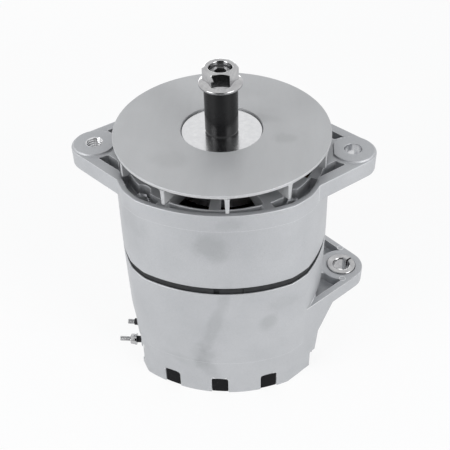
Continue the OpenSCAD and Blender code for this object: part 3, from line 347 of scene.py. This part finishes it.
def machined_bright():
    n = Nodes("machined_bright")
    n.set(Metallic=1.0)
    rings = n.math("SINE", n.math("MULTIPLY", n.radius(), TURNING_LINES))
    haze = n.noise(220, 4, 0.6)
    wear = n.noise(900, 3, 0.7)
    tone = n.ramp(haze, [(0.3, (0.66, 0.665, 0.68)), (0.7, (0.74, 0.745, 0.755))])
    n.colour(n.mix(1.0, tone, n.ramp(wear, [(0.24, 0.8), (0.34, 1.0)]), "MULTIPLY"))
    n.roughness(n.ramp(haze, [(0.3, 0.14), (0.7, 0.22)]))
    n.bump((rings, 0.05, 0.00002), (haze, 0.08, 0.00004))
    return n.material


def zinc_plate():
    n = Nodes("zinc_plate")
    n.set(Metallic=1.0)
    grit = n.noise(1500, 4, 0.7)
    cloud = n.noise(150, 3, 0.5)
    tone = n.ramp(cloud, [(0.3, (0.42, 0.42, 0.43)), (0.7, (0.54, 0.54, 0.545))])
    n.colour(n.mix(1.0, tone, n.ramp(grit, [(0.25, 0.8), (0.7, 1.05)]), "MULTIPLY"))
    n.roughness(n.ramp(grit, [(0.25, 0.07), (0.75, 0.13)]))
    n.bump((grit, 0.3, 0.00007))
    return n.material


def dark_steel():
    n = Nodes("dark_steel")
    n.set(Metallic=1.0)
    grit = n.noise(900, 4, 0.6)
    n.colour(n.ramp(grit, [(0.3, (0.25, 0.25, 0.255)), (0.7, (0.36, 0.36, 0.365))]))
    n.roughness(n.ramp(grit, [(0.3, 0.32), (0.7, 0.45)]))
    n.bump((grit, 0.15, 0.00006))
    return n.material


def bearing_steel():
    n = Nodes("bearing_steel")
    n.set(Metallic=1.0)
    haze = n.noise(400, 3, 0.5)
    n.colour(n.ramp(haze, [(0.3, (0.68, 0.68, 0.69)), (0.7, (0.76, 0.76, 0.77))]))
    n.roughness(n.ramp(haze, [(0.3, 0.1), (0.7, 0.18)]))
    return n.material


def lamination_black():
    n = Nodes("lamination_black")
    n.set(Metallic=0.0, IOR=1.5, Specular_IOR_Level=0.3)
    layers = n.math("SINE", n.math("MULTIPLY", n.axis("Z"), 2 * math.pi / LAMINATION_PITCH))
    wear = n.noise(300, 4, 0.6)
    n.colour(n.ramp(wear, [(0.35, (0.016, 0.017, 0.018)), (0.75, (0.03, 0.031, 0.033))]))
    n.roughness(n.ramp(wear, [(0.3, 0.5), (0.7, 0.7)]))
    n.bump((layers, 0.35, 0.00008), (wear, 0.2, 0.00008))
    return n.material


def black_paint():
    n = Nodes("black_paint")
    n.set(Metallic=0.0, IOR=1.5, Specular_IOR_Level=0.32)
    cloud = n.noise(60, 4, 0.6)
    n.colour(n.ramp(cloud, [(0.3, (0.006, 0.006, 0.0065)), (0.7, (0.009, 0.009, 0.0095))]))
    n.roughness(n.ramp(cloud, [(0.3, 0.24), (0.7, 0.32)]))
    n.bump((n.noise(800, 3, 0.5), 0.06, 0.00004))
    return n.material


# Painted shade: the end cover's near-black colour stands in for the shadow in the hollow notches
# of the rear frame; the specks are real dust
def dusty_shade_black():
    n = Nodes("dusty_shade_black")
    n.set(Metallic=0.0, IOR=1.4, Specular_IOR_Level=0.12)
    cloud = n.noise(200, 4, 0.6)
    dust = n.ramp(n.cells(120), [(0.02, 0.06), (0.05, 0.0)])
    base = n.ramp(cloud, [(0.3, (0.006, 0.006, 0.007)), (0.7, (0.010, 0.010, 0.011))])
    n.colour(n.mix(1.0, base, dust, "ADD"))
    n.roughness(n.ramp(cloud, [(0.3, 0.62), (0.7, 0.75)]))
    n.bump((n.noise(900, 3, 0.5), 0.2, 0.00006))
    return n.material


def black_plastic():
    n = Nodes("black_plastic")
    n.set(Metallic=0.0, IOR=1.48, Specular_IOR_Level=0.3)
    grain = n.noise(1200, 3, 0.6)
    n.colour(n.ramp(grain, [(0.3, (0.012, 0.012, 0.013)), (0.7, (0.02, 0.02, 0.022))]))
    n.roughness(n.ramp(grain, [(0.3, 0.5), (0.7, 0.62)]))
    n.bump((grain, 0.2, 0.00006))
    return n.material


def black_rubber():
    n = Nodes("black_rubber")
    n.set(Metallic=0.0, IOR=1.5, Specular_IOR_Level=0.25)
    grain = n.noise(700, 3, 0.6)
    n.colour(n.ramp(grain, [(0.3, (0.02, 0.02, 0.02)), (0.7, (0.035, 0.035, 0.035))]))
    n.roughness(n.ramp(grain, [(0.3, 0.7), (0.7, 0.85)]))
    n.bump((grain, 0.3, 0.0001))
    return n.material


def copper_winding():
    n = Nodes("copper_winding")
    n.set(Metallic=0.7, IOR=1.5)
    strands = n.noise(700, 3, 0.5, stretch=(1.0, 1.0, 0.15))
    n.colour(n.ramp(strands, [(0.35, (0.16, 0.055, 0.02)), (0.7, (0.36, 0.14, 0.055))]))
    n.roughness(n.ramp(strands, [(0.3, 0.28), (0.7, 0.42)]))
    n.bump((strands, 0.6, 0.0004))
    return n.material


def cage_brass():
    n = Nodes("cage_brass")
    n.set(Metallic=1.0)
    haze = n.noise(500, 3, 0.5)
    n.colour(n.ramp(haze, [(0.3, (0.58, 0.42, 0.16)), (0.7, (0.7, 0.52, 0.24))]))
    n.roughness(n.ramp(haze, [(0.3, 0.25), (0.7, 0.38)]))
    return n.material


MATERIALS = {
    make.__name__: make()
    for make in (
        cast_aluminium, fan_aluminium, machined_bright, zinc_plate, dark_steel, bearing_steel,
        lamination_black, black_paint, dusty_shade_black, black_plastic, black_rubber,
        copper_winding, cage_brass,
    )
}

# Nodes that don't wear the material named after their record slot
OWN_FINISH = {
    # The end cover's near-black finish is painted shade in the rear notches
    "end_cover": "dusty_shade_black",
    "hinge_bushing": "zinc_plate",
    "through_bolts": "machined_bright",
}


def give(obj, material):
    obj.data.materials.clear()
    obj.data.materials.append(material)


def finish_of(node):
    return MATERIALS[OWN_FINISH.get(node, SLOTS[node])]


def body_of(node):
    for body, nodes in frame["record"]["behaviour"]["bodies"].items():
        if node in nodes:
            return body
    raise KeyError(node)


def dress_cad_nodes():
    for name, obj in frame["nodes"].items():
        give(obj, finish_of(name))


def stand_for(piece, node):
    """The piece takes over from a CAD node: its finish and its motion, and the node is hidden."""
    give(piece, finish_of(node))
    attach(piece, body_of(node))
    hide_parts(node)


def new_piece(name, work, smooth=True):
    """Turns a bmesh into an object of the scene."""
    bmesh.ops.recalc_face_normals(work, faces=work.faces)
    mesh = bpy.data.meshes.new(name)
    work.to_mesh(mesh)
    work.free()
    if smooth:
        mesh.shade_smooth()
    else:
        mesh.shade_flat()
    piece = bpy.data.objects.new(name, mesh)
    bpy.context.scene.collection.objects.link(piece)
    return piece


def patch_widths(work, smooth_angle):
    """Mean width of the smooth patch round each face: twice its area over its rim's length."""
    patch = {}
    for start in work.faces:
        if start.index in patch:
            continue
        patch[start.index] = start.index
        stack = [start]
        while stack:
            for edge in stack.pop().edges:
                if len(edge.link_faces) != 2 or edge.calc_face_angle() > smooth_angle:
                    continue
                for face in edge.link_faces:
                    if face.index not in patch:
                        patch[face.index] = start.index
                        stack.append(face)
    area = dict.fromkeys(patch.values(), 0.0)
    rim = dict.fromkeys(patch.values(), 1e-9)
    for face in work.faces:
        area[patch[face.index]] += face.calc_area()
    for edge in work.edges:
        sides = {patch[face.index] for face in edge.link_faces}
        if len(sides) == 2:
            for side in sides:
                rim[side] += edge.calc_length()
    return {index: 2 * area[root] / rim[root] for index, root in patch.items()}


def folded_spots(work):
    """Places where the surface turned over itself: triangles against their face, and creases."""
    spots = []
    for corners in work.calc_loop_triangles():
        first, second, third = (loop.vert.co for loop in corners)
        normal = (second - first).cross(third - first)
        if normal.length > 1e-12 and normal.dot(corners[0].face.normal) < 0:
            spots.append((first + second + third) / 3)
    for edge in work.edges:
        if len(edge.link_faces) == 2 and edge.calc_face_angle() > FOLD_ANGLE:
            spots.append((edge.verts[0].co + edge.verts[1].co) / 2)
    return spots


def round_edges(source, width, keep_sharp, widen, spared):
    """One try at rounding a mesh's edges. Edges near the spared places stay sharp."""
    work = bmesh.new()
    work.from_mesh(source)
    bmesh.ops.remove_doubles(work, verts=work.verts, dist=SAME_PLACE)
    if widen:
        widen(work)
    bmesh.ops.dissolve_limit(work, angle_limit=SAME_PLANE, verts=work.verts, edges=work.edges)
    work.faces.index_update()
    work.faces.ensure_lookup_table()
    widths = patch_widths(work, PATCH_ANGLE)
    near = KDTree(max(1, len(spared)))
    for number, spot in enumerate(spared):
        near.insert(spot, number)
    near.balance()

    def free(edge):
        low, high = (vert.co for vert in edge.verts)
        tests = (low.lerp(high, part) for part in (0, 0.25, 0.5, 0.75, 1))
        return all(near.find(test)[2] > SPARED_REACH * width for test in tests)

    chosen = [
        edge for edge in work.edges
        if len(edge.link_faces) == 2
        and edge.calc_face_angle() > ROUNDED_FROM
        and min(widths[face.index] for face in edge.link_faces) > MIN_PATCH * width
        and not (keep_sharp and keep_sharp(edge))
        and (not spared or free(edge))
    ]
    bmesh.ops.bevel(
        work, geom=chosen, offset=width, segments=2, profile=0.5, affect="EDGES",
        clamp_overlap=False, loop_slide=True,
    )
    work.normal_update()
    return work


def soft_edged(node, width, keep_sharp=None, widen=None):
    """A copy of a CAD node with its edges rounded, except round narrow faces, where an earlier
    try folded the surface, and where keep_sharp says so. The last try stays as it is."""
    mesh = frame["nodes"][node].data.copy()
    spared = []
    for _ in range(ROUNDING_TRIES):
        work = round_edges(mesh, width, keep_sharp, widen, spared)
        folds = folded_spots(work)
        if not folds:
            break
        spared += folds
    bmesh.ops.triangulate(work, faces=[face for face in work.faces if len(face.verts) > 4])
    for face in work.faces:
        face.smooth = True
    for edge in work.edges:
        edge.smooth = len(edge.link_faces) == 2 and edge.calc_face_angle() < SHARP_ANGLE
    work.to_mesh(mesh)
    work.free()
    piece = bpy.data.objects.new(node + "_finish", mesh)
    bpy.context.scene.collection.objects.link(piece)
    normals = piece.modifiers.new("normals", "WEIGHTED_NORMAL")
    normals.keep_sharp = True
    stand_for(piece, node)


def thread_rows(base_r, ridge_r, pitch, z0, z1, chamfer, around=32, per_pitch=8):
    """Rings of points along a screw thread between two radii, with both ends chamfered."""
    count = math.ceil((z1 - z0) / pitch * per_pitch)
    rows = []
    for i in range(count + 1):
        z = z0 + (z1 - z0) * i / count
        end = min(1.0, (z - z0) / chamfer, (z1 - z) / chamfer)
        row = []
        for k in range(around):
            phase = (z / pitch - k / around) % 1.0
            height = min(end, 1.0, 1.3 * (1.0 - abs(2.0 * phase - 1.0)))
            r = base_r + (ridge_r - base_r) * height
            turn = 2 * math.pi * k / around
            row.append(Vector((r * math.cos(turn), r * math.sin(turn), z)))
        rows.append(row)
    return rows


def ring_row(r, z, around=32):
    return [
        Vector((r * math.cos(2 * math.pi * k / around), r * math.sin(2 * math.pi * k / around), z))
        for k in range(around)
    ]


def skin_rows(work, rows, closed, matrix):
    """Joins rings of points with faces; the last ring meets the first, or both ends are capped."""
    rings = [[work.verts.new(matrix @ point) for point in row] for row in rows]
    pairs = list(zip(rings, rings[1:]))
    if closed:
        pairs.append((rings[-1], rings[0]))
    else:
        work.faces.new(reversed(rings[0]))
        work.faces.new(rings[-1])
    for low, high in pairs:
        for k in range(len(low)):
            after = (k + 1) % len(low)
            work.faces.new((low[k], low[after], high[after], high[k]))


def ear_thread():
    """The tapped hole of the adjusting ear: the hole opens to the thread's root, and a
    threaded sleeve of bright metal lines it down to the core diameter."""
    mount = next(m for m in frame["record"]["mounts"] if m["name"] == "adjusting_ear_thread")
    centre = Vector(mount["pos_m"])
    core_r = mount["dims"]["r_mm"] / 1000
    half = mount["dims"]["length_mm"] / 2000
    root_r = core_r + EAR_THREAD_DEPTH
    axis = Vector((centre.x, centre.y))

    def widen(work):
        for vert in work.verts:
            arm = vert.co.xy - axis
            if abs(arm.length - core_r) < 0.02e-3:
                arm *= root_r / arm.length
                vert.co.xy = axis + arm

    def near_hole(edge):
        return all((vert.co.xy - axis).length < root_r + 0.1e-3 for vert in edge.verts)

    soft_edged("drive_end_frame", CASTING_EDGE, near_hole, widen)
    work = bmesh.new()
    outer = root_r + EAR_SLEEVE_WALL
    z0, z1 = centre.z - half, centre.z + half
    rows = [ring_row(outer, z0)]
    rows += thread_rows(root_r, core_r, EAR_THREAD_PITCH, z0, z1, EAR_THREAD_CHAMFER)
    rows.append(ring_row(outer, z1))
    skin_rows(work, rows, True, Matrix.Translation((axis.x, axis.y, 0)))
    piece = new_piece("ear_thread", work)
    give(piece, MATERIALS["machined_bright"])
    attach(piece, "housing")


def terminal_stud(node, pitch):
    """A terminal stud along -X with a rolled thread, and its hexagon head inside the wall."""
    low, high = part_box(node)
    middle = (low + high) / 2
    shank_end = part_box(node + "_insulator")[1].x
    head_t = high.x - shank_end
    head_r = (high.y - low.y) / 2 / math.cos(math.radians(30))
    r = STUD_RADIUS[node]
    matrix = Matrix.Translation((0, middle.y, middle.z)) @ Matrix.Rotation(-math.pi / 2, 4, "Y")
    work = bmesh.new()
    thread = thread_rows(
        r * STUD_ROOT, r, pitch, -shank_end, -low.x, STUD_CHAMFER, around=24
    )
    skin_rows(work, thread, False, matrix)
    # The head stays flat, and so do the last four faces at the thread's tip
    smooth_faces = len(work.faces) - 4
    bottom, top = -high.x, -high.x + head_t
    head = (
        (r * 0.8, bottom),
        (head_r * 0.9, bottom),
        (head_r, bottom + STUD_HEAD_CHAMFER),
        (head_r, top),
        (r * 0.8, top),
    )
    skin_rows(work, [ring_row(radius, z, 6) for radius, z in head], False, matrix)
    piece = new_piece(node + "_threaded", work, smooth=False)
    for polygon in piece.data.polygons[:smooth_faces]:
        polygon.use_smooth = True
    stand_for(piece, node)


def ejector_marks():
    """Faint round marks of the die's ejector pins on the rear lug."""
    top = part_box("hinge_bushing")[1].z - BUSHING_PROUD
    for number, (x, y) in enumerate(EJECTOR_PLACES):
        work = bmesh.new()
        rows = [ring_row(r / 1000, z / 1000) for r, z in EJECTOR_PROFILE]
        skin_rows(work, rows, True, Matrix.Translation((x, y, top)))
        piece = new_piece(f"ejector_mark_{number}", work)
        give(piece, MATERIALS["cast_aluminium"])
        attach(piece, "housing")


def bright_bore():
    """The reamed wall of the front hinge lug's bore is bare, bright metal."""
    mesh = bpy.data.objects["drive_end_frame_finish"].data
    mesh.materials.append(MATERIALS["machined_bright"])
    for face in mesh.polygons:
        away = (face.center.xy - HINGE_BORE_AT).length
        if away < HINGE_BORE_RADIUS * 1.02 and abs(face.normal.z) < 0.3:
            face.material_index = len(mesh.materials) - 1


def make_floor():
    bpy.ops.mesh.primitive_plane_add(size=FLOOR_SIZE, location=(0, 0, 0))
    floor = bpy.context.object
    floor.name = "floor"
    n = Nodes("floor_white")
    n.shader.inputs["Base Color"].default_value = (0.9, 0.9, 0.9, 1)
    n.shader.inputs["Roughness"].default_value = 0.9
    glow = n.add("ShaderNodeEmission")
    glow.inputs["Color"].default_value = (*WHITE, 1)
    glow.inputs["Strength"].default_value = 1.0
    path = n.add("ShaderNodeLightPath")
    seen = n.math("MAXIMUM", path.outputs["Is Camera Ray"], path.outputs["Is Glossy Ray"])
    seen = n.math("MAXIMUM", seen, path.outputs["Is Transmission Ray"])
    mix = n.add("ShaderNodeMixShader")
    # Part of the floor's own shading stays, so that it keeps the shadow
    n.link(n.math("MULTIPLY", seen, FLOOR_GLOW), mix.inputs["Fac"])
    n.link(n.shader.outputs["BSDF"], mix.inputs[1])
    n.link(glow.outputs["Emission"], mix.inputs[2])
    n.link(mix.outputs["Shader"], n.out.inputs["Surface"])
    give(floor, n.material)


def make_dark_backdrop():
    """The unlit half of the studio: only reflections show it."""
    work = bmesh.new()
    (x0, x1), y, (z0, z1) = DARK_SPAN_X, DARK_Y, DARK_SPAN_Z
    corners = [(x0, y, z0), (x1, y, z0), (x1, y, z1), (x0, y, z1)]
    work.faces.new([work.verts.new(corner) for corner in corners])
    (x0, x1), (y0, y1), z = DARK_FLOOR_X, DARK_FLOOR_Y, DARK_FLOOR_Z
    corners = [(x0, y0, z), (x1, y0, z), (x1, y1, z), (x0, y1, z)]
    work.faces.new([work.verts.new(corner) for corner in corners])
    backdrop = new_piece("dark_backdrop", work, smooth=False)
    n = Nodes("dark_cloth")
    weave = n.noise(40, 2, 0.5)
    n.colour(n.ramp(weave, [(0.3, 0.012), (0.7, 0.018)]))
    n.set(Roughness=1.0, Specular_IOR_Level=0.0)
    give(backdrop, n.material)
    for ray in ("camera", "diffuse", "transmission", "shadow", "volume_scatter"):
        setattr(backdrop, "visible_" + ray, False)


def make_world():
    world = bpy.data.worlds.new("studio")
    bpy.context.scene.world = world
    world.use_nodes = True
    tree = world.node_tree
    tree.nodes.clear()
    out = tree.nodes.new("ShaderNodeOutputWorld")
    path = tree.nodes.new("ShaderNodeLightPath")
    seen = tree.nodes.new("ShaderNodeBackground")
    seen.inputs["Color"].default_value = (*WHITE, 1)
    seen.inputs["Strength"].default_value = 1.0
    room = tree.nodes.new("ShaderNodeBackground")
    room.inputs["Color"].default_value = (0.93, 0.96, 1.0, 1)
    room.inputs["Strength"].default_value = 0.55
    shown = path.outputs["Is Camera Ray"]
    for kind in ("Is Glossy Ray", "Is Transmission Ray"):
        either = tree.nodes.new("ShaderNodeMath")
        either.operation = "MAXIMUM"
        tree.links.new(shown, either.inputs[0])
        tree.links.new(path.outputs[kind], either.inputs[1])
        shown = either.outputs["Value"]
    mix = tree.nodes.new("ShaderNodeMixShader")
    tree.links.new(shown, mix.inputs["Fac"])
    tree.links.new(room.outputs["Background"], mix.inputs[1])
    tree.links.new(seen.outputs["Background"], mix.inputs[2])
    tree.links.new(mix.outputs["Shader"], out.inputs["Surface"])


def area_light(name, place, target, size, power):
    data = bpy.data.lights.new(name, "AREA")
    data.shape = "RECTANGLE"
    data.size, data.size_y = size
    data.energy = power
    light = bpy.data.objects.new(name, data)
    bpy.context.scene.collection.objects.link(light)
    light.location = place
    light.rotation_euler = (Vector(target) - Vector(place)).to_track_quat("-Z", "Y").to_euler()


def make_lights():
    middle = (0, 0, 0.12)
    area_light("key_left", (-1.0, -0.8, 0.55), middle, (0.7, 0.8), 9.0)
    area_light("key_right", (1.05, -0.75, 0.5), middle, (0.7, 0.8), 9.5)
    area_light("back_fill", (-0.3, 1.3, 0.2), middle, (1.2, 0.4), 4.0)


def make_camera():
    azimuth, elevation, roll = CAMERA_AZIMUTH, CAMERA_ELEVATION, CAMERA_ROLL
    back = Vector((
        math.sin(azimuth) * math.cos(elevation),
        -math.cos(azimuth) * math.cos(elevation),
        math.sin(elevation),
    ))
    right = Vector((math.cos(azimuth), math.sin(azimuth), 0))
    up = back.cross(right)
    rolled_right = right * math.cos(roll) + up * math.sin(roll)
    rolled_up = up * math.cos(roll) - right * math.sin(roll)
    turn = Matrix((rolled_right, rolled_up, back)).transposed().to_4x4()
    data = bpy.data.cameras.new("photo_camera")
    data.sensor_width = SENSOR_MM
    data.lens = FOCAL_PX * SENSOR_MM / PHOTO_PX
    data.clip_start = 0.01
    camera = bpy.data.objects.new("photo_camera", data)
    camera.matrix_world = Matrix.Translation(CAMERA_TARGET + back * CAMERA_DISTANCE) @ turn
    bpy.context.scene.collection.objects.link(camera)
    bpy.context.scene.camera = camera


dress_cad_nodes()
ear_thread()
for node, width in SOFT_EDGES.items():
    soft_edged(node, width)
for node, pitch in STUD_PITCH.items():
    terminal_stud(node, pitch)
ejector_marks()
bright_bore()
make_floor()
make_dark_backdrop()
make_world()
make_lights()
make_camera()
bpy.context.scene.view_settings.view_transform = "Standard"
